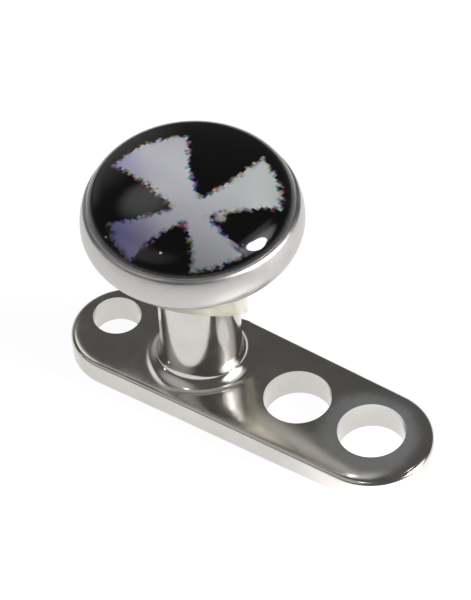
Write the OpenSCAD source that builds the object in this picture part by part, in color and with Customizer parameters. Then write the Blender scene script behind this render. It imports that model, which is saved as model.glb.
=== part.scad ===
// Dermal anchor with a picture top: a footplate with three holes and a post on it, and a screw-in steel cup that
// holds a printed disc under a dome of clear resin.
// Millimetres. The origin is on the post's axis, at the underside of the footplate. +Z is up and +X points to the
// toe, the end of the footplate with two holes.

/* [Footplate] */
// Width of the footplate at its widest place
plate_w = 2.36; // [2.3:0.02:2.8]
// Where the footplate is widest, from the post's axis
widest_x = 0.58; // [0:0.02:1]
// Thickness of the footplate
plate_t = 0.6; // [0.5:0.02:0.9]
// Reach of the heel from the post's axis
heel_reach = 2.58; // [2.5:0.02:3.4]
// Radius of the heel's round end
heel_r = 1.04; // [0.9:0.02:1.14]
// How far the heel's round end lies off the middle line
heel_off = 0.18; // [0:0.01:0.2]
// Reach of the toe from the post's axis
toe_reach = 4.8; // [4.7:0.02:5.6]
// Radius of the toe's round end
toe_r = 1.14; // [1:0.02:1.14]
// How far the toe's round end lies off the middle line
toe_off = 0.08; // [0:0.01:0.1]
// Rounding of the footplate's upper edge
plate_top_r = 0.12; // [0.04:0.01:0.2]
// Rounding of the footplate's lower edge
plate_low_r = 0.2; // [0.04:0.01:0.24]

/* [Holes in the footplate] */
// Diameter of the hole in the heel
heel_hole_d = 0.9; // [0.6:0.02:1]
// Wall between the heel's hole and the heel's tip
heel_wall = 0.25; // [0.2:0.01:0.4]
// Diameter of the two holes in the toe
toe_hole_d = 1.25; // [0.8:0.02:1.3]
// Wall between the toe's hole and the toe's tip
toe_wall = 0.55; // [0.4:0.01:0.7]
// Wall between the two holes in the toe
hole_gap = 0.32; // [0.2:0.01:0.5]
// Rounding of each hole's two edges
hole_edge_r = 0.05; // [0.02:0.01:0.1]

/* [Post] */
// Diameter of the post
post_d = 1.5; // [1.4:0.02:1.7]
// Height of the post above the footplate
post_h = 3.14; // [2.6:0.02:4]
// Radius of the fillet where the post flows into the footplate
post_fillet_r = 0.3; // [0.1:0.01:0.4]
// Depth of the post's bore
bore_depth = 2.3; // [1.5:0.1:2.5]

/* [Stud of the top] */
// Diameter of the stud in the post's bore
stud_d = 0.9; // [0.7:0.02:1]
// Length of the stud below the cup
stud_l = 2; // [1:0.1:2.2]
// Clearance round the stud
stud_gap = 0.04; // [0.02:0.01:0.06]

/* [Cup] */
// Largest diameter of the cup
cup_d = 4; // [3.6:0.05:5]
// Height of the cup from its underside to its rim
cup_h = 0.93; // [0.85:0.01:1.3]
// Radius of the round corner under the cup
cup_corner_r = 0.46; // [0.2:0.01:0.5]
// How far the wall leans in from the widest place to the rim
cup_lean = 0.1; // [0.05:0.01:0.14]
// Width of the rim round the recess
rim_w = 0.06; // [0.04:0.01:0.14]
// Depth of the recess for the picture
recess_depth = 0.22; // [0.18:0.01:0.4]

/* [Picture] */
// Thickness of the printed disc
print_t = 0.12; // [0.06:0.01:0.15]
// Width of the rim that the resin leaves bare
rim_bare = 0.04; // [0.02:0.01:0.06]
// Height of the resin dome above the cup's rim
dome_h = 0.62; // [0.45:0.01:0.8]
// Radius of the dome's round edge
dome_edge_r = 0.5; // [0.3:0.01:0.6]
// Slope of the dome where it meets the rim, in degrees
dome_slope = 75; // [50:1:85]

/* [Sleeve] */
// Wall of the soft sleeve round the post
sleeve_wall = 0.11; // [0.08:0.01:0.2]
// Clearance between the post and the sleeve
sleeve_gap = 0.02; // [0.01:0.01:0.05]
// Length of the sleeve at its middle, below the cup
sleeve_l = 1.81; // [1.4:0.01:2]
// Slant of the sleeve's lower edge, in degrees
sleeve_slant = 40; // [0:1:42]
// Direction of the sleeve's longest side, in degrees from the toe
sleeve_turn = 109; // [0:1:180]

/* [Hidden] */
$fn = 96;

// Gap between pieces that lie on each other
seat_gap = 0.02;
// How far a cut runs past the solid that it cuts
past = 1;
// A length too small to see
hair = 0.0002;

// The footplate's outline runs round three circles, each given as x, y and radius
HEEL = [heel_r - heel_reach, -heel_off, heel_r];
WIDEST = [widest_x, 0, plate_w / 2];
TOE = [toe_reach - toe_r, -toe_off, toe_r];
heel_hole_x = -(heel_reach - heel_wall - heel_hole_d / 2);
toe_hole_x = toe_reach - toe_wall - toe_hole_d / 2;
mid_hole_x = toe_hole_x - toe_hole_d - hole_gap;

post_r = post_d / 2;
post_top = plate_t + post_h;
bore_d = stud_d + 2 * stud_gap;

cup_r = cup_d / 2;
rim_r = cup_r - cup_lean;
cup_z = post_top + seat_gap;
cup_wide_z = cup_z + cup_corner_r;
rim_z = cup_z + cup_h;
// The wall's arc is upright at the widest place and ends at the rim
wall_rise = cup_h - cup_corner_r;
wall_arc_r = (wall_rise * wall_rise + cup_lean * cup_lean) / (2 * cup_lean);
recess_r = rim_r - rim_w;
recess_z = rim_z - recess_depth;

print_r = recess_r - seat_gap;
print_z = recess_z + seat_gap;

// The dome's crown is an arc that meets its round edge without a corner
dome_z = rim_z + seat_gap;
dome_r = rim_r - rim_bare;
edge_in = dome_r - dome_edge_r * sin(dome_slope);
edge_low = dome_h + dome_edge_r * cos(dome_slope);
edge_z = dome_z + dome_h - edge_low;
crown_r = (edge_in * edge_in + edge_low * edge_low - dome_edge_r * dome_edge_r) / (2 * (edge_low - dome_edge_r));
crown_z = dome_z + dome_h - crown_r;
resin_z = print_z + print_t + seat_gap;

sleeve_in_r = post_r + sleeve_gap;
sleeve_out_r = sleeve_in_r + sleeve_wall;
sleeve_top = cup_z - seat_gap;

// The footplate's cross-section, from its inside to its rounded edge at a distance r
module plate_section(r) {
    difference() {
        square([r, plate_t]);
        translate([r - plate_top_r, plate_t - plate_top_r]) difference() {
            square(plate_top_r + past);
            circle(plate_top_r);
        }
        translate([r - plate_low_r, plate_low_r]) difference() {
            translate([0, -plate_low_r - past]) square(plate_low_r + past);
            circle(plate_low_r);
        }
    }
}

// A round end of the footplate
module plate_round(c) {
    translate([c.x, c.y, 0]) rotate_extrude() plate_section(c.z);
}

// The footplate between two of its rounds: a flat web, and a bar with a rounded edge along each tangent
module plate_between(a, b) {
    step = [b.x - a.x, b.y - a.y];
    heading = atan2(step.y, step.x);
    swing = acos((a.z - b.z) / norm(step));
    edge_l = norm(step) * sin(swing);
    edge_r = max(plate_top_r, plate_low_r);
    linear_extrude(plate_t) polygon([for (p = [[a, 1], [b, 1], [b, -1], [a, -1]]) [
        p[0].x + (p[0].z - edge_r) * cos(heading + p[1] * swing),
        p[0].y + (p[0].z - edge_r) * sin(heading + p[1] * swing)
    ]]);
    translate([a.x, a.y, 0]) {
        rotate([0, 0, heading + swing - 90]) rotate([90, 0, 90]) linear_extrude(edge_l) plate_section(a.z);
        rotate([0, 0, heading - swing + 90]) rotate([90, 0, 90]) linear_extrude(edge_l)
            mirror([1, 0]) plate_section(a.z);
    }
}

// The footplate's blank, before it is drilled
module plate() {
    plate_round(HEEL);
    plate_round(WIDEST);
    plate_round(TOE);
    plate_between(WIDEST, HEEL);
    plate_between(WIDEST, TOE);
}

// What a drilled hole of radius r with two rounded edges takes out of the footplate
module hole_cut(r) {
    rotate_extrude() {
        translate([0, -past]) square([r, plate_t + 2 * past]);
        translate([r, plate_t - hole_edge_r]) hole_edge_section();
        translate([r, hole_edge_r]) mirror([0, 1]) hole_edge_section();
    }
}

// The corner that the rounding of a hole's edge takes away
module hole_edge_section() {
    difference() {
        translate([-hole_edge_r / 2, 0]) square([hole_edge_r * 1.5, hole_edge_r + past]);
        translate([hole_edge_r, 0]) circle(hole_edge_r);
        translate([hole_edge_r, -past]) square([past, past + hole_edge_r]);
    }
}

// The post, with the fillet that leads it into the footplate
module post() {
    rotate_extrude() {
        square([post_r, post_top]);
        translate([0, plate_t]) difference() {
            square([post_r + post_fillet_r, post_fillet_r]);
            translate([post_r + post_fillet_r, post_fillet_r]) circle(post_fillet_r);
        }
    }
}

// Footplate and post, one piece of polished steel, bored from above for the stud
module anchor_base() {
    color([0.62, 0.61, 0.59]) difference() {
        union() {
            plate();
            post();
        }
        translate([heel_hole_x, 0, 0]) hole_cut(heel_hole_d / 2);
        translate([mid_hole_x, 0, 0]) hole_cut(toe_hole_d / 2);
        translate([toe_hole_x, 0, 0]) hole_cut(toe_hole_d / 2);
        translate([0, 0, post_top - bore_depth]) cylinder(d = bore_d, h = bore_depth + past);
    }
}

// Half of the cup's cross-section: flat underside, round corner, and a wall that leans in to the rim
module cup_section() {
    translate([0, cup_z]) square([cup_r - cup_corner_r, cup_h]);
    intersection() {
        translate([cup_r - cup_corner_r, cup_wide_z]) circle(cup_corner_r);
        translate([0, cup_z]) square([cup_r, cup_corner_r]);
    }
    intersection() {
        translate([cup_r - wall_arc_r, cup_wide_z]) circle(wall_arc_r);
        translate([0, cup_wide_z]) square([cup_r, wall_rise]);
    }
}

// The cup with its recess, and the plain stud under it, one piece of steel
module top_cup() {
    color([0.72, 0.71, 0.69]) rotate_extrude() {
        difference() {
            cup_section();
            translate([-past, recess_z]) square([recess_r + past, recess_depth + past]);
        }
        translate([0, cup_z - stud_l]) square([stud_d / 2, stud_l + (recess_z - cup_z) / 2]);
    }
}

// The printed disc on the floor of the recess
module print_disc() {
    color([0.08, 0.08, 0.09]) translate([0, 0, print_z]) cylinder(r = print_r, h = print_t);
}

// The resin: it fills the recess above the disc, laps onto the rim and rises to a dome
module resin_dome() {
    color([0.9, 0.92, 0.95, 0.35]) rotate_extrude() {
        translate([0, resin_z]) square([recess_r - seat_gap, dome_z - resin_z + seat_gap / 2]);
        // The round edge, a hair too large so that its arc crosses the crown's instead of touching it
        intersection() {
            translate([edge_in, edge_z]) circle(dome_edge_r + hair);
            translate([0, dome_z]) square([cup_r, 2 * dome_h]);
        }
        // The crown, as far out as the place where it meets the round edge
        intersection() {
            translate([0, crown_z]) circle(crown_r);
            translate([0, dome_z]) square([cup_r, 2 * dome_h]);
            translate([0, crown_z]) polygon([[0, 0], [3 * edge_in, 3 * (edge_z - crown_z)], [0, 3 * crown_r]]);
        }
    }
}

// The soft sleeve round the upper post, cut off aslant below
module soft_sleeve() {
    color([0.9, 0.9, 0.72, 0.6]) difference() {
        translate([0, 0, plate_t]) cylinder(r = sleeve_out_r, h = sleeve_top - plate_t);
        cylinder(r = sleeve_in_r, h = sleeve_top + past);
        translate([0, 0, sleeve_top - sleeve_l]) rotate([0, 0, sleeve_turn]) rotate([0, sleeve_slant, 0])
            translate([-cup_d, -cup_d, -2 * cup_d]) cube(2 * cup_d);
    }
}

anchor_base();
top_cup();
print_disc();
resin_dome();
soft_sleeve();
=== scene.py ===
from math import acos, asin, atan2, cos, degrees, hypot, pi, radians, sin

import bmesh
import bpy
from mathutils import Matrix, Vector


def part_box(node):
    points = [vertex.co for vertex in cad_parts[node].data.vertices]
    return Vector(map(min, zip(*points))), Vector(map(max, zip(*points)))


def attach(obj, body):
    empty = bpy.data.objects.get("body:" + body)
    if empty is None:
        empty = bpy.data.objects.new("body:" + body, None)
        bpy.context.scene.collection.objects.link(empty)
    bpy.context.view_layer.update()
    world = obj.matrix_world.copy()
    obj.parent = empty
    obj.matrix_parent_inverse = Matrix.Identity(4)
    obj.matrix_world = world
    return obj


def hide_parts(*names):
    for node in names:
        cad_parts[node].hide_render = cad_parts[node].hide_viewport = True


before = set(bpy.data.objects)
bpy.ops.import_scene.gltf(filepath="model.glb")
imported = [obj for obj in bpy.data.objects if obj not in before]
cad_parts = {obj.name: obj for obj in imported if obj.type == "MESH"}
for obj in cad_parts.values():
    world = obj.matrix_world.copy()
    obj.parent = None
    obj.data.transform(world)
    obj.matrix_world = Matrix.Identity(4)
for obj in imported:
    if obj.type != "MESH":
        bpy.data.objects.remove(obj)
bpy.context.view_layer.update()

# The footplate and its post are one piece of surgical steel. The plate has two uneven round ends
# and three drilled holes, the post flows out of it through a fillet, and tumbling has worn every
# edge round and left the faces mirror bright. All shapes are drawn in millimetres.
MM = 0.001


def box_mm(node):
    """Lowest and highest corner of a node of the frame, in millimetres."""
    return [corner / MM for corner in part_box(node)]


base_low, base_high = box_mm("anchor_base")
plate_t = 0.6
edge_top_r = 0.07
edge_low_r = 0.18
heel_r = 1.04
toe_r = 1.14
# The three rounds of the plate's outline. Each holds the x and y of its middle, and its radius as z.
HEEL = Vector((base_low.x + heel_r, -0.18, heel_r))
WIDEST = Vector((0.3, -0.02, 1.19))
TOE = Vector((base_high.x - toe_r, -0.08, toe_r))
heel_hole = {"x": -1.88, "r": 0.45}
mid_hole = {"x": 2.055, "r": 0.625}
toe_hole = {"x": 3.625, "r": 0.625}
post_r = 0.75
post_top = base_high.z
post_edge_r = 0.05
fillet_r = 0.3
bore_r = 0.49
bore_depth = 2.3
# Points nearer to each other than this are one point.
weld = 1e-4


def arc(x, z, r, start, end, steps=12):
    """Points of an arc about (x, z), from one angle to another in degrees."""
    turns = [radians(start + (end - start) * i / steps) for i in range(steps + 1)]
    return [(x + r * cos(a), z + r * sin(a)) for a in turns]


def rounded_edge(r, lap=0.02):
    """Section of a rounded edge as (distance from the wall, depth), from a little way in to the wall."""
    return [(r + lap, 0)] + [(r - x, r - z) for x, z in arc(0, 0, r, 90, 0, 8)]


def plain_round(r, low, high):
    """Section of a plain disc or rod as (radius, height)."""
    return [(0, low), (r, low), (r, high), (0, high)]


def string_of_edges(mesh, points):
    """Joins points in a row; gives back the new vertices and edges."""
    verts = [mesh.verts.new(p) for p in points]
    return verts + [mesh.edges.new(pair) for pair in zip(verts, verts[1:])]


def swing(mesh, geom, middle, angle, steps, whole=False):
    """Sweeps a string of edges round an upright axis; gives back its last copy."""
    swept = bmesh.ops.spin(mesh, geom=geom, cent=(middle.x, middle.y, 0), axis=(0, 0, 1),
                           angle=angle, steps=steps, use_merge=whole)
    return swept["geom_last"]


def turned(mesh, section, x=0, steps=180):
    """Turns a section of (radius, height) points into a closed round whose axis stands at x."""
    start = string_of_edges(mesh, [(x + r, 0, z) for r, z in section])
    swing(mesh, start, Vector((x, 0)), 2 * pi, steps, whole=True)


def close_up(mesh):
    """Welds what lies together, turns the faces outwards and keeps only true corners sharp."""
    sharp = radians(40)
    bmesh.ops.remove_doubles(mesh, verts=mesh.verts, dist=weld)
    bmesh.ops.dissolve_degenerate(mesh, edges=mesh.edges, dist=weld / 100)
    bmesh.ops.recalc_face_normals(mesh, faces=mesh.faces)
    for face in mesh.faces:
        face.smooth = True
    for edge in mesh.edges:
        edge.smooth = edge.calc_face_angle(0) < sharp


def piece(name, mesh, material, slot, *nodes):
    """Makes an object in metres of a mesh; it stands for those nodes of the frame and rides with them."""
    bmesh.ops.scale(mesh, vec=(MM, MM, MM), verts=mesh.verts)
    data = bpy.data.meshes.new(name)
    mesh.to_mesh(data)
    mesh.free()
    data.materials.append(material)
    made = bpy.data.objects.new(name, data)
    bpy.context.scene.collection.objects.link(made)
    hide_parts(*nodes)
    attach(made, "root")
    return made


def tangent_angles(a, b):
    """Directions, from the middle of each of two rounds, of the two lines that touch both."""
    heading = atan2(b.y - a.y, b.x - a.x)
    half = acos((a.z - b.z) / hypot(b.x - a.x, b.y - a.y))
    return heading - half, heading + half


def on_outline(middle, angle):
    """The point of the plate's outline at that angle on one of its rounds."""
    return Vector((middle.x + middle.z * cos(angle), middle.y + middle.z * sin(angle), 0))


# The plate's rim is a section swung about each round in turn and drawn straight on to the next.
base = bmesh.new()
toe_right, toe_left = tangent_angles(WIDEST, TOE)
heel_left, heel_right = tangent_angles(WIDEST, HEEL)
end_steps = 96
side_steps = 6
rounds = [
    (WIDEST, toe_left, heel_left + 2 * pi, side_steps),
    (HEEL, heel_left, heel_right, end_steps),
    (WIDEST, heel_right, toe_right, side_steps),
    (TOE, toe_right, toe_left, end_steps),
]
rim_section = [(inset, plate_t - depth) for inset, depth in rounded_edge(edge_top_r)]
rim_section += reversed(rounded_edge(edge_low_r))
inward = Vector((-cos(toe_left), -sin(toe_left), 0))
first = on_outline(WIDEST, toe_left)
edge = string_of_edges(base, [first + inward * inset + Vector((0, 0, z)) for inset, z in rim_section])
for number, (middle, begin, end, steps) in enumerate(rounds):
    edge = swing(base, edge, middle, end - begin, steps)
    next_middle, next_begin = rounds[(number + 1) % len(rounds)][:2]
    strung = [e for e in edge if isinstance(e, bmesh.types.BMEdge)]
    drawn = bmesh.ops.extrude_edge_only(base, edges=strung)["geom"]
    edge = [e for e in drawn if not isinstance(e, bmesh.types.BMFace)]
    bmesh.ops.translate(base, vec=on_outline(next_middle, next_begin) - on_outline(middle, end),
                        verts=[v for v in edge if isinstance(v, bmesh.types.BMVert)])
bmesh.ops.remove_doubles(base, verts=base.verts, dist=weld)
bmesh.ops.holes_fill(base, edges=[e for e in base.edges if e.is_boundary], sides=0)

# The post stands in the plate. Its fillet is cut off at foot_r, where it is all but level with the face.
foot_r = 1.02
foot_angle = 180 + degrees(acos((post_r + fillet_r - foot_r) / fillet_r))
post_section = [(0, plate_t / 2), (foot_r, plate_t / 2)]
post_section += arc(post_r + fillet_r, plate_t + fillet_r, fillet_r, foot_angle, 180, 24)
post_section += arc(post_r - post_edge_r, post_top - post_edge_r, post_edge_r, 0, 90, 4)
post_section += [(0, post_top)]
turned(base, post_section)
close_up(base)

overrun = 0.2
drills = bmesh.new()
for hole in (heel_hole, mid_hole, toe_hole):
    turned(drills, plain_round(hole["r"], -overrun, plate_t + overrun), hole["x"], steps=120)
turned(drills, plain_round(bore_r, post_top - bore_depth, post_top + overrun))
close_up(drills)


def rough_object(mesh):
    """A helper object, still in millimetres, of a mesh."""
    data = bpy.data.meshes.new("rough")
    mesh.to_mesh(data)
    mesh.free()
    rough = bpy.data.objects.new("rough", data)
    bpy.context.scene.collection.objects.link(rough)
    return rough


def worked(rough):
    """The mesh of a helper object with its modifiers in it."""
    whole = bpy.data.meshes.new_from_object(rough.evaluated_get(bpy.context.evaluated_depsgraph_get()))
    bpy.data.objects.remove(rough)
    mesh = bmesh.new()
    mesh.from_mesh(whole)
    return mesh


def fused(mesh, grain):
    """Melts overlapping shapes into one skin of small even faces."""
    rough = rough_object(mesh)
    remesh = rough.modifiers.new("fuse", "REMESH")
    remesh.mode = "VOXEL"
    remesh.voxel_size = grain
    return worked(rough)


def drilled(mesh, cutters):
    """Cuts the cutters out of a mesh."""
    rough = rough_object(mesh)
    cutter = rough_object(cutters)
    drill = rough.modifiers.new("drill", "BOOLEAN")
    drill.operation = "DIFFERENCE"
    drill.solver = "EXACT"
    drill.object = cutter
    mesh = worked(rough)
    bpy.data.objects.remove(cutter)
    return mesh


def relax(mesh, passes):
    """Smooths a mesh."""
    for _ in range(passes):
        bmesh.ops.smooth_vert(mesh, verts=mesh.verts, factor=0.5,
                              use_axis_x=True, use_axis_y=True, use_axis_z=True)


# Plate and post are melted into one skin. It is trued up, flat on the face and round on the fillet,
# the post and the plate's edges, and the face is rolled down a little towards the outline.
skin_grain = 0.028
passes_before = 4
passes_after = 3
face_tolerance = 0.02
wall_tolerance = 0.03
# The top of the post is hidden in the cup and stays as melted.
hidden_top = 0.1
roll_w = 0.5
roll_from = plate_t * 0.2
roll_at_heel = 0.012
roll_at_toe = 0.052
fillet_low = plate_t + fillet_r
toe_ways = [Vector((cos(a), sin(a), 0)) for a in (toe_left, toe_right)]
heel_ways = [Vector((cos(a), sin(a), 0)) for a in (heel_left, heel_right)]


def outline_from(x, y):
    """How far inside the plate's outline a place lies, and the way straight out to it."""
    if x > WIDEST.x:
        ways, end, past_end = toe_ways, TOE, x > TOE.x
    else:
        ways, end, past_end = heel_ways, HEEL, x < HEEL.x
    if past_end:
        out = Vector((x - end.x, y - end.y, 0))
        return end.z - out.length, out.normalized()
    found = [(end.z + way.x * (end.x - x) + way.y * (end.y - y), way) for way in ways]
    return min(found, key=lambda pair: pair[0])


def onto_round(across, up, middle_across, middle_up, r):
    """The nearest point of a round of radius r, in the plane of a section."""
    out = Vector((across - middle_across, up - middle_up)).normalized() * r
    return middle_across + out.x, middle_up + out.y


def trued_post(x, y, z):
    """A place on the melted post or fillet, moved onto their true surface."""
    out = hypot(x, y)
    true_out = post_r
    if z < fillet_low:
        true_out, z = onto_round(out, z, post_r + fillet_r, fillet_low, fillet_r)
    return x * true_out / out, y * true_out / out, z


def trued_plate(x, y, z):
    """A place on the melted plate, moved onto its true edges, wall, face or underside."""
    inset, outward = outline_from(x, y)
    true_inset = inset
    if inset < edge_top_r and z > plate_t - edge_top_r:
        true_inset, z = onto_round(inset, z, edge_top_r, plate_t - edge_top_r, edge_top_r)
    elif inset < edge_low_r and z < edge_low_r:
        true_inset, z = onto_round(inset, z, edge_low_r, edge_low_r, edge_low_r)
    elif inset < wall_tolerance:
        true_inset = 0
    elif z > plate_t - face_tolerance:
        z = plate_t
    elif z < face_tolerance:
        z = 0
    return x + outward.x * (inset - true_inset), y + outward.y * (inset - true_inset), z


def rolled_down(x, y, z):
    """How far the roll towards the outline lowers a place; it fades out down the wall and up the fillet."""
    if not roll_from < z < fillet_low:
        return 0
    towards_toe = max(0, min(1, (x - HEEL.x) / (TOE.x - HEEL.x)))
    most = roll_at_heel + (roll_at_toe - roll_at_heel) * towards_toe
    low = most * max(0, 1 - outline_from(x, y)[0] / roll_w) ** 3
    return low * min(z / plate_t, 1, (fillet_low - z) / fillet_r)


base = fused(base, skin_grain)
relax(base, passes_before)
for vert in base.verts:
    x, y, z = vert.co
    if plate_t - face_tolerance < z < post_top - hidden_top and hypot(x, y) < post_r + fillet_r:
        vert.co = trued_post(x, y, z)
    elif z < plate_t + face_tolerance:
        vert.co = trued_plate(x, y, z)
    vert.co.z -= rolled_down(*vert.co)
relax(base, passes_after)
base = drilled(base, drills)
close_up(base)


def new_material(name, **values):
    """A material with only its surface shader, whose inputs are set by name.

    Gives back the material, its tree and the shader.
    """
    material = bpy.data.materials.new(name)
    material.use_nodes = True
    shader = material.node_tree.nodes["Principled BSDF"]
    for key, value in values.items():
        shader.inputs[key.replace("_", " ")].default_value = value
    return material, material.node_tree, shader


def add(tree, kind, joins=None, **values):
    """Adds a node. joins links its inputs to other nodes, values sets its inputs or settings by name."""
    made = tree.nodes.new("ShaderNode" + kind)
    for key, value in values.items():
        if hasattr(made, key):
            setattr(made, key, value)
        else:
            made.inputs[key.replace("_", " ")].default_value = value
    for key, socket in (joins or {}).items():
        tree.links.new(socket, made.inputs[key])
    return made


def in_mm(tree):
    """The place on the piece, in millimetres."""
    place = add(tree, "TexCoord").outputs["Object"]
    return add(tree, "Mapping", {"Vector": place}, Scale=(1 / MM, 1 / MM, 1 / MM)).outputs["Vector"]


def maths(tree, operation, *values):
    """One sum with numbers or sockets."""
    made = add(tree, "Math", operation=operation)
    for socket, value in zip(made.inputs, values):
        if isinstance(value, bpy.types.NodeSocket):
            tree.links.new(value, socket)
        else:
            socket.default_value = value
    return made.outputs["Value"]


def away_from(tree, place, point):
    """How far a place lies from a point."""
    away = add(tree, "VectorMath", {0: place}, operation="DISTANCE")
    away.inputs[1].default_value = point
    return away.outputs["Value"]


def fade(tree, value, begin, end, first, last):
    """Goes softly from first to last while the value goes from begin to end."""
    made = add(tree, "MapRange", {"Value": value}, interpolation_type="SMOOTHSTEP",
               From_Min=begin, From_Max=end, To_Min=first, To_Max=last)
    return made.outputs["Result"]


def noise(tree, place, scale, detail, roughness=0.5):
    """Cloudy noise with features of about 1 / scale."""
    made = add(tree, "TexNoise", {"Vector": place}, Scale=scale, Detail=detail, Roughness=roughness)
    return made.outputs["Fac"]


def relief(tree, height, depth, under=None):
    """A bump of that depth in millimetres, on top of another bump where one is given."""
    joins = {"Height": height}
    if under is not None:
        joins["Normal"] = under
    return add(tree, "Bump", joins, Strength=1, Distance=depth * MM).outputs["Normal"]


def matt_ring(tree, place, hole):
    """1 on the plate's face close to a hole, and 0 further out."""
    ring_begin = hole["r"] + 0.1
    ring_end = hole["r"] + 0.5
    face_low = plate_t - 0.06
    level = add(tree, "VectorMath", {0: place}, operation="MULTIPLY")
    level.inputs[1].default_value = (1, 1, 0)
    from_hole = away_from(tree, level.outputs["Vector"], (hole["x"], 0, 0))
    ring = fade(tree, from_hole, ring_begin, ring_end, 1, 0)
    height = add(tree, "SeparateXYZ", {"Vector": place}).outputs["Z"]
    on_face = maths(tree, "GREATER_THAN", height, face_low)
    return maths(tree, "MULTIPLY", ring, on_face)


def polished(name, colour, smooth, dull, wave, grain, dished=0, matt_round=None):
    """Steel with faint smears in its polish, a slow unevenness left by hand work, and fine scratches.

    smooth and dull are the least and the most roughness of the smears. wave and grain are the depths
    in millimetres of the unevenness and the scratches. dished makes the face beyond the post very
    slightly hollow. matt_round is a hole round which the polish is duller and a little bluish, where
    the wheel couldn't reach.
    """
    tint_swing = 0.12
    matt_more = 0.2
    matt_colour = (0.6, 0.615, 0.62, 1)
    dish_start = 0.6
    material, tree, shader = new_material(name, Metallic=1)
    place = in_mm(tree)
    smears = noise(tree, place, scale=1.6, detail=4, roughness=0.6)
    gloss = add(tree, "MapRange", {"Value": smears}, From_Min=0.35, From_Max=0.7,
                To_Min=smooth, To_Max=dull)
    roughness = gloss.outputs["Result"]
    tint = add(tree, "Mix", {"Factor": smears}, data_type="RGBA")
    tint.inputs["A"].default_value = (*[c * (1 - tint_swing) for c in colour], 1)
    tint.inputs["B"].default_value = (*[c * (1 + tint_swing) for c in colour], 1)
    steel_tint = tint.outputs["Result"]
    if matt_round:
        matt = matt_ring(tree, place, matt_round)
        roughness = maths(tree, "ADD", roughness, maths(tree, "MULTIPLY", matt, matt_more))
        blued = add(tree, "Mix", {"Factor": matt, "A": steel_tint}, data_type="RGBA")
        blued.inputs["B"].default_value = matt_colour
        steel_tint = blued.outputs["Result"]
    tree.links.new(roughness, shader.inputs["Roughness"])
    tree.links.new(steel_tint, shader.inputs["Base Color"])
    uneven = relief(tree, noise(tree, place, scale=1.1, detail=1.5), wave)
    if dished:
        along = add(tree, "SeparateXYZ", {"Vector": place}).outputs["X"]
        past_post = maths(tree, "MAXIMUM", maths(tree, "SUBTRACT", along, dish_start), 0)
        uneven = relief(tree, maths(tree, "MULTIPLY", past_post, past_post), dished, uneven)
    long_way = add(tree, "Mapping", {"Vector": place}, Rotation=(0, 0, radians(20)), Scale=(2, 14, 14))
    scratches = noise(tree, long_way.outputs["Vector"], scale=1.5, detail=3)
    tree.links.new(relief(tree, scratches, grain, uneven), shader.inputs["Normal"])
    return material


mirror_steel = polished("mirror steel", (0.6, 0.58, 0.55), smooth=0.1, dull=0.18, wave=0.006,
                        grain=0.00012, dished=0.016, matt_round=toe_hole)
piece("footplate_and_post", base, mirror_steel, "polished_steel", "anchor_base")

# The cup is turned from the same steel and only softly polished. Its stud goes down the post, its
# round corner leads up to a wall that leans in to a rounded lip, and a shallow recess, blackened
# inside, holds the picture.
cup_low, cup_high = box_mm("top_cup")
gap = 0.02
stud_r = 0.45
stud_collar = 0.05
cup_r = cup_high.x
cup_z = post_top + gap
rim_z = cup_high.z
corner_r = 0.46
wall_lean = 0.1
wall_top = rim_z - 0.1
lip_r = 0.1
recess_r = cup_r - wall_lean - 0.06
recess_z = rim_z - 0.22
rise = rim_z - cup_z - corner_r
wall_r = (rise ** 2 + wall_lean ** 2) / (2 * wall_lean)
lip_angle = degrees(asin((wall_top - cup_z - corner_r) / wall_r))

cup = bmesh.new()
cup_section = [(0, cup_low.z), (stud_r, cup_low.z), (stud_r, cup_z), (stud_r + stud_collar, cup_z)]
cup_section += arc(cup_r - corner_r, cup_z + corner_r, corner_r, -90, 0, 24)
cup_section += arc(cup_r - wall_r, cup_z + corner_r, wall_r, 0, lip_angle, 12)[1:]
lip_x = cup_section[-1][0] - lip_r * cos(radians(lip_angle))
lip_z = wall_top - lip_r * sin(radians(lip_angle))
lip_top = lip_z + lip_r
lip_dip = 0.005
cup_section += arc(lip_x, lip_z, lip_r, lip_angle, 90, 12)[1:]
cup_section += [(recess_r, lip_top - lip_dip), (recess_r, recess_z), (0, recess_z)]
turned(cup, cup_section)
close_up(cup)
hair = 0.01
for face in cup.faces:
    middle = face.calc_center_median()
    in_recess = hypot(middle.x, middle.y) < recess_r + hair and middle.z > recess_z - hair
    face.material_index = in_recess
soft_steel = polished("softly polished steel", (0.53, 0.515, 0.5), smooth=0.28, dull=0.42, wave=0.004,
                      grain=0.003)
blackened = new_material("blackened recess", Base_Color=(0.01, 0.01, 0.011, 1), Roughness=0.5)[0]
cup_object = piece("cup_with_stud", cup, soft_steel, "cup_steel", "top_cup")
cup_object.data.materials.append(blackened)

# The picture is a colour print on a thin round film: a light cross with four flared arms on
# black. The printer's dots leave its edges stepped, and its inks don't quite lie on each other, so
# thin coloured fringes show.
print_low, print_high = box_mm("print_disc")
picture = bmesh.new()
turned(picture, plain_round(print_high.x, print_low.z, print_high.z))
close_up(picture)
film, print_tree, print_shader = new_material("printed film", Roughness=0.6, Specular_IOR_Level=0)
cross_x, cross_y = 0.28, -0.35
# Each arm: its direction in degrees, its length, half its width at the middle and at its end, the
# slant of its end, and how far it passes beside the middle.
arms = [
    (148, 1.79, 0.22, 0.77, 0.02, 0.02),
    (57.5, 1.55, 0.19, 0.62, 0.22, 0.03),
    (-35.5, 1.12, 0.19, 0.5, 0, 0),
    (-122.5, 1.34, 0.15, 0.41, 0, -0.08),
]


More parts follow.
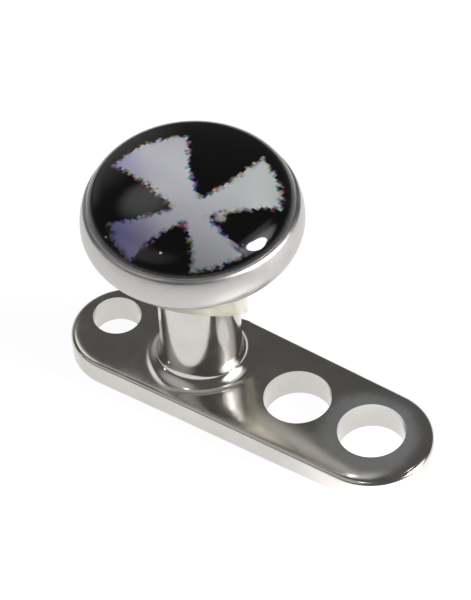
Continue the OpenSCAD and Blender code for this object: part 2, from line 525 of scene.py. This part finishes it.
def arm_depth(tree, place, angle, length, waist, flare, slant, aside):
    """How deep inside the arm a place lies, in millimetres; its sides curve outwards to its end."""
    flare_power = 1.9
    end_bulge = 0.35
    overlap = 0.1
    in_arm = add(tree, "Mapping", {"Vector": place}, vector_type="TEXTURE",
                 Location=(cross_x, cross_y, 0), Rotation=(0, 0, radians(angle)))
    part = add(tree, "SeparateXYZ", {"Vector": in_arm.outputs["Vector"]})
    along = part.outputs["X"]
    across = maths(tree, "SUBTRACT", part.outputs["Y"], aside)
    reach = maths(tree, "DIVIDE", maths(tree, "MAXIMUM", along, 0), length)
    half = maths(tree, "MULTIPLY_ADD", maths(tree, "POWER", reach, flare_power), flare - waist, waist)
    side = maths(tree, "SUBTRACT", half, maths(tree, "ABSOLUTE", across))
    bulge = maths(tree, "MULTIPLY", maths(tree, "MULTIPLY", across, across), end_bulge)
    reach_here = maths(tree, "MULTIPLY_ADD", across, slant, length)
    end = maths(tree, "SUBTRACT", reach_here, maths(tree, "ADD", along, bulge))
    inside = maths(tree, "MINIMUM", side, end)
    return maths(tree, "MINIMUM", inside, maths(tree, "ADD", along, overlap))


dot = 0.055
raggedness = 0.07
stray_ink = 0.034
soft_edge = 0.055
ink_shifts = [(0.002, 0.003), (0, 0), (-0.003, -0.002)]
print_place = in_mm(print_tree)
dots = add(print_tree, "VectorMath", {0: print_place}, operation="SNAP")
dots.inputs[1].default_value = (dot, dot, dot)
stray = add(print_tree, "TexWhiteNoise", {"Vector": dots.outputs["Vector"]})
stray_inks = add(print_tree, "SeparateXYZ", {"Vector": stray.outputs["Color"]})
ragged = maths(print_tree, "MULTIPLY_ADD", stray.outputs["Value"], raggedness, -raggedness / 2)
# Half way between the dot's corner and the true place, so that an edge is stepped but not square.
# On average that lies a quarter of a dot back, which is added again below.
stepped = add(print_tree, "Mix", {"A": dots.outputs["Vector"], "B": print_place},
              data_type="VECTOR", Factor=0.5)
inks = []
for stray_part, (shift_x, shift_y) in zip(stray_inks.outputs, ink_shifts):
    shifted = add(print_tree, "VectorMath", {0: stepped.outputs["Result"]}, operation="ADD")
    shifted.inputs[1].default_value = (shift_x + dot / 4, shift_y + dot / 4, 0)
    deepest = arm_depth(print_tree, shifted.outputs["Vector"], *arms[0])
    for arm in arms[1:]:
        depth = arm_depth(print_tree, shifted.outputs["Vector"], *arm)
        deepest = maths(print_tree, "MAXIMUM", deepest, depth)
    loose = maths(print_tree, "MULTIPLY_ADD", stray_part, stray_ink, -stray_ink / 2)
    wandering = maths(print_tree, "ADD", ragged, loose)
    inks.append(fade(print_tree, maths(print_tree, "ADD", deepest, wandering), -soft_edge, soft_edge, 0, 1))
covers = add(print_tree, "CombineXYZ", {"X": inks[0], "Y": inks[1], "Z": inks[2]})
# Painted shade darkens the print towards -Y; the ink turns from violet over near white to grey towards +X
# and +Y.
print_part = add(print_tree, "SeparateXYZ", {"Vector": print_place})
painted_shade = add(print_tree, "MapRange", {"Value": print_part.outputs["Y"]},
            From_Min=-1.3, From_Max=0.4, To_Min=0.28, To_Max=1)
slantwise = maths(print_tree, "ADD", print_part.outputs["X"], print_part.outputs["Y"])
violet_to_grey = add(print_tree, "MapRange", {"Value": slantwise}, From_Min=-1.95, From_Max=1.2)
tint = add(print_tree, "ValToRGB", {"Fac": violet_to_grey.outputs["Result"]})
tint.color_ramp.elements[0].color = (0.5, 0.46, 1, 1)
tint.color_ramp.elements[1].color = (0.7, 0.73, 0.69, 1)
middle_tint = tint.color_ramp.elements.new(0.37)
middle_tint.color = (0.95, 0.94, 1, 1)
shaded = add(print_tree, "VectorMath", {0: tint.outputs["Color"], "Scale": painted_shade.outputs["Result"]},
             operation="SCALE")
inked = add(print_tree, "VectorMath", {0: covers.outputs["Vector"], 1: shaded.outputs["Vector"]},
            operation="MULTIPLY")
on_black = add(print_tree, "VectorMath", {0: inked.outputs["Vector"]}, operation="ADD")
on_black.inputs[1].default_value = (0.0006, 0.0006, 0.0008)
print_tree.links.new(on_black.outputs["Vector"], print_shader.inputs["Base Color"])
piece("printed_disc", picture, film, "printed_picture", "print_disc")

# The resin is poured over the picture, clear and glossy. It stops at the rim and its own skin pulls
# it up into a low dome with a tight round edge.
dome_high = box_mm("resin_dome")[1]
dome_r = dome_high.x
dome_h = dome_high.z - rim_z - gap
edge_r = 0.5
meeting = radians(75)
edge_in = dome_r - edge_r * sin(meeting)
edge_low = dome_h + edge_r * cos(meeting)
crown_r = (edge_in ** 2 + edge_low ** 2 - edge_r ** 2) / (2 * (edge_low - edge_r))
crown_angle = degrees(asin(edge_in / (crown_r - edge_r)))
# The resin reaches into the picture and over the lip by a hair, so that no air shows between them.
dome_foot = print_high.z - hair
lip_lap = 0.012
dome_lap = lip_top - lip_lap

dome = bmesh.new()
dome_section = [(0, dome_foot), (recess_r - gap, dome_foot), (recess_r - gap, dome_lap), (dome_r, dome_lap)]
dome_section += arc(edge_in, dome_high.z - edge_low, edge_r, 90 - degrees(meeting), 90 - crown_angle, 16)
dome_section += arc(0, dome_high.z - crown_r, crown_r, 90 - crown_angle, 90, 30)[1:]
turned(dome, dome_section)
close_up(dome)
resin, resin_tree, resin_shader = new_material("clear resin", Base_Color=(0.97, 0.98, 1, 1), Roughness=0.01,
                                               IOR=1.5, Transmission_Weight=1)
# The skin set with ripples of a third of a micrometre, which only soften its highlights.
ripple_noise = noise(resin_tree, in_mm(resin_tree), scale=20, detail=2)
ripples = relief(resin_tree, ripple_noise, 0.0003)
resin_tree.links.new(ripples, resin_shader.inputs["Normal"])
piece("resin_dome_clear", dome, resin, "clear_resin", "resin_dome")

# The sleeve is a soft, see-through ring round the top of the post, pale yellow where it is thick
# and cut off aslant below.
sleeve_low, sleeve_high = box_mm("soft_sleeve")
sleeve_t = 0.11
sleeve_in = post_r + gap
sleeve_out = sleeve_in + sleeve_t
cut_slant = radians(40)
cut_turn = radians(109)
cut_drop = 1.81

sleeve = bmesh.new()
sleeve_section = [(sleeve_in, sleeve_low.z), (sleeve_out, sleeve_low.z), (sleeve_out, sleeve_high.z),
                  (sleeve_in, sleeve_high.z), (sleeve_in, sleeve_low.z)]
turned(sleeve, sleeve_section, steps=96)
bmesh.ops.remove_doubles(sleeve, verts=sleeve.verts, dist=weld)
cut_way = (-sin(cut_slant) * cos(cut_turn), -sin(cut_slant) * sin(cut_turn), -cos(cut_slant))
bmesh.ops.bisect_plane(sleeve, geom=sleeve.verts[:] + sleeve.edges[:] + sleeve.faces[:],
                       plane_co=(0, 0, sleeve_high.z - cut_drop), plane_no=cut_way, clear_outer=True)
bmesh.ops.holes_fill(sleeve, edges=[e for e in sleeve.edges if e.is_boundary], sides=0)
close_up(sleeve)
soft = new_material("soft see-through ring", Base_Color=(0.88, 0.87, 0.75, 1), Roughness=0.25, IOR=1.4,
                    Transmission_Weight=0.8)[0]
piece("soft_ring", sleeve, soft, "clear_sleeve", "soft_sleeve")

# The studio: a plain white table, which glows a little so that it lights the steel from below, a
# dark room above it with soft patches of light on its walls, and lamps in front and to the sides.
floor_r = 0.3
# The table's top lies a hair below the sole, so that the two faces never fight for the same place.
floor_drop = 0.02
floor_mesh = bmesh.new()
bmesh.ops.create_circle(floor_mesh, cap_ends=True, segments=128, radius=floor_r)
bmesh.ops.translate(floor_mesh, vec=(0, 0, -floor_drop * MM), verts=floor_mesh.verts)
floor_data = bpy.data.meshes.new("table")
floor_mesh.to_mesh(floor_data)
floor_mesh.free()
floor = bpy.data.objects.new("table", floor_data)
bpy.context.scene.collection.objects.link(floor)
white, white_tree, white_shader = new_material(
    "white table", Base_Color=(0.1, 0.1, 0.1, 1), Roughness=0.9, Specular_IOR_Level=0,
    Emission_Color=(1, 1, 1, 1))
table_place = in_mm(white_tree)
from_post = away_from(white_tree, table_place, (0, 0, 0))
table_glow = fade(white_tree, from_post, begin=9, end=45, first=0.95, last=0.12)
# A brighter pool of light is painted into the table's glow beside the toe.
from_pool = away_from(white_tree, table_place, (5.2, -1.9, 0))
pool = fade(white_tree, from_pool, begin=0.5, end=3.4, first=1.1, last=0)
white_tree.links.new(maths(white_tree, "ADD", table_glow, pool), white_shader.inputs["Emission Strength"])
floor_data.materials.append(white)

scene = bpy.context.scene
room = bpy.data.worlds.new("dark room")
room.use_nodes = True
room_tree = room.node_tree
room_way = add(room_tree, "TexCoord").outputs["Generated"]


def direction(azimuth, elevation):
    """The way to that azimuth and elevation in degrees. Azimuth 0 lies towards -Y and 90 towards +X."""
    a, e = radians(azimuth), radians(elevation)
    return Vector((sin(a) * cos(e), -cos(a) * cos(e), sin(e)))


def soft_patch(under, azimuth, elevation, core, edge, glow):
    """Adds a patch of light to the room, bright out to core degrees from its middle and gone at edge."""
    near = add(room_tree, "VectorMath", {0: room_way}, operation="DOT_PRODUCT")
    near.inputs[1].default_value = direction(azimuth, elevation)
    light = fade(room_tree, near.outputs["Value"], cos(radians(edge)), cos(radians(core)), 0, glow)
    return add(room_tree, "VectorMath", {0: light, 1: under}, operation="ADD").outputs["Vector"]


light_in_room = add(room_tree, "CombineXYZ", X=0.115, Y=0.113, Z=0.11).outputs["Vector"]
# Each patch: its azimuth and elevation, where its core and its edge end, and its glow.
patches = [
    (-117, 52, 1, 13, 1.1),
    (-175, 68, 0.5, 3, 6),
    (104, 27, 8, 28, 3),
    (-34, 42, 8, 38, 0.45),
    (125, 50, 2, 18, 0.8),
    (-115, 8, 4, 30, 0.35),
]
for patch in patches:
    light_in_room = soft_patch(light_in_room, *patch)
room_tree.links.new(light_in_room, room_tree.nodes["Background"].inputs["Color"])
scene.world = room
scene.view_settings.view_transform = "Standard"


def soft_lamp(name, azimuth, elevation, width, height, glow, colour=(1, 1, 1)):
    """An oval lamp in that direction, which faces the object. glow is the brightness of its face."""
    far = 0.4
    way = direction(azimuth, elevation)
    data = bpy.data.lights.new(name, "AREA")
    data.shape = "ELLIPSE"
    data.size = width
    data.size_y = height
    data.energy = glow * pi * (pi / 4 * width * height)
    data.color = colour
    lamp = bpy.data.objects.new(name, data)
    facing = way.to_track_quat("Z", "Y").to_matrix().to_4x4()
    lamp.matrix_world = Matrix.Translation(way * far) @ facing
    scene.collection.objects.link(lamp)


soft_lamp("right_lamp", 103, 24, 0.13, 0.31, 25, (0.97, 0.95, 1))
soft_lamp("small_lamp_right", 103, 55, 0.012, 0.012, 40)
soft_lamp("small_lamp_front", -26, 67, 0.012, 0.02, 40)
soft_lamp("small_lamp_left", -60, 7, 0.02, 0.02, 15)

# The camera looks down on the object as in the photograph, with a long lens.
camera_azimuth = 35.335
camera_elevation = 47.78
roll = radians(-3.681)
look_at = Vector((-0.197, 1.430, 0.6)) * MM
distance = 77.79 * MM
back = direction(camera_azimuth, camera_elevation)
side = direction(camera_azimuth + 90, 0)
upward = back.cross(side)
right = side * cos(roll) + upward * sin(roll)
top = upward * cos(roll) - side * sin(roll)
turn = Matrix((right, top, back)).transposed().to_4x4()
camera_data = bpy.data.cameras.new("camera")
camera_data.sensor_fit = "AUTO"
camera_data.sensor_width = 24
camera_data.lens = 168
camera_data.clip_start = 0.005
camera_data.clip_end = 10
camera = bpy.data.objects.new("camera", camera_data)
camera.matrix_world = Matrix.Translation(look_at + back * distance) @ turn
scene.collection.objects.link(camera)
scene.camera = camera
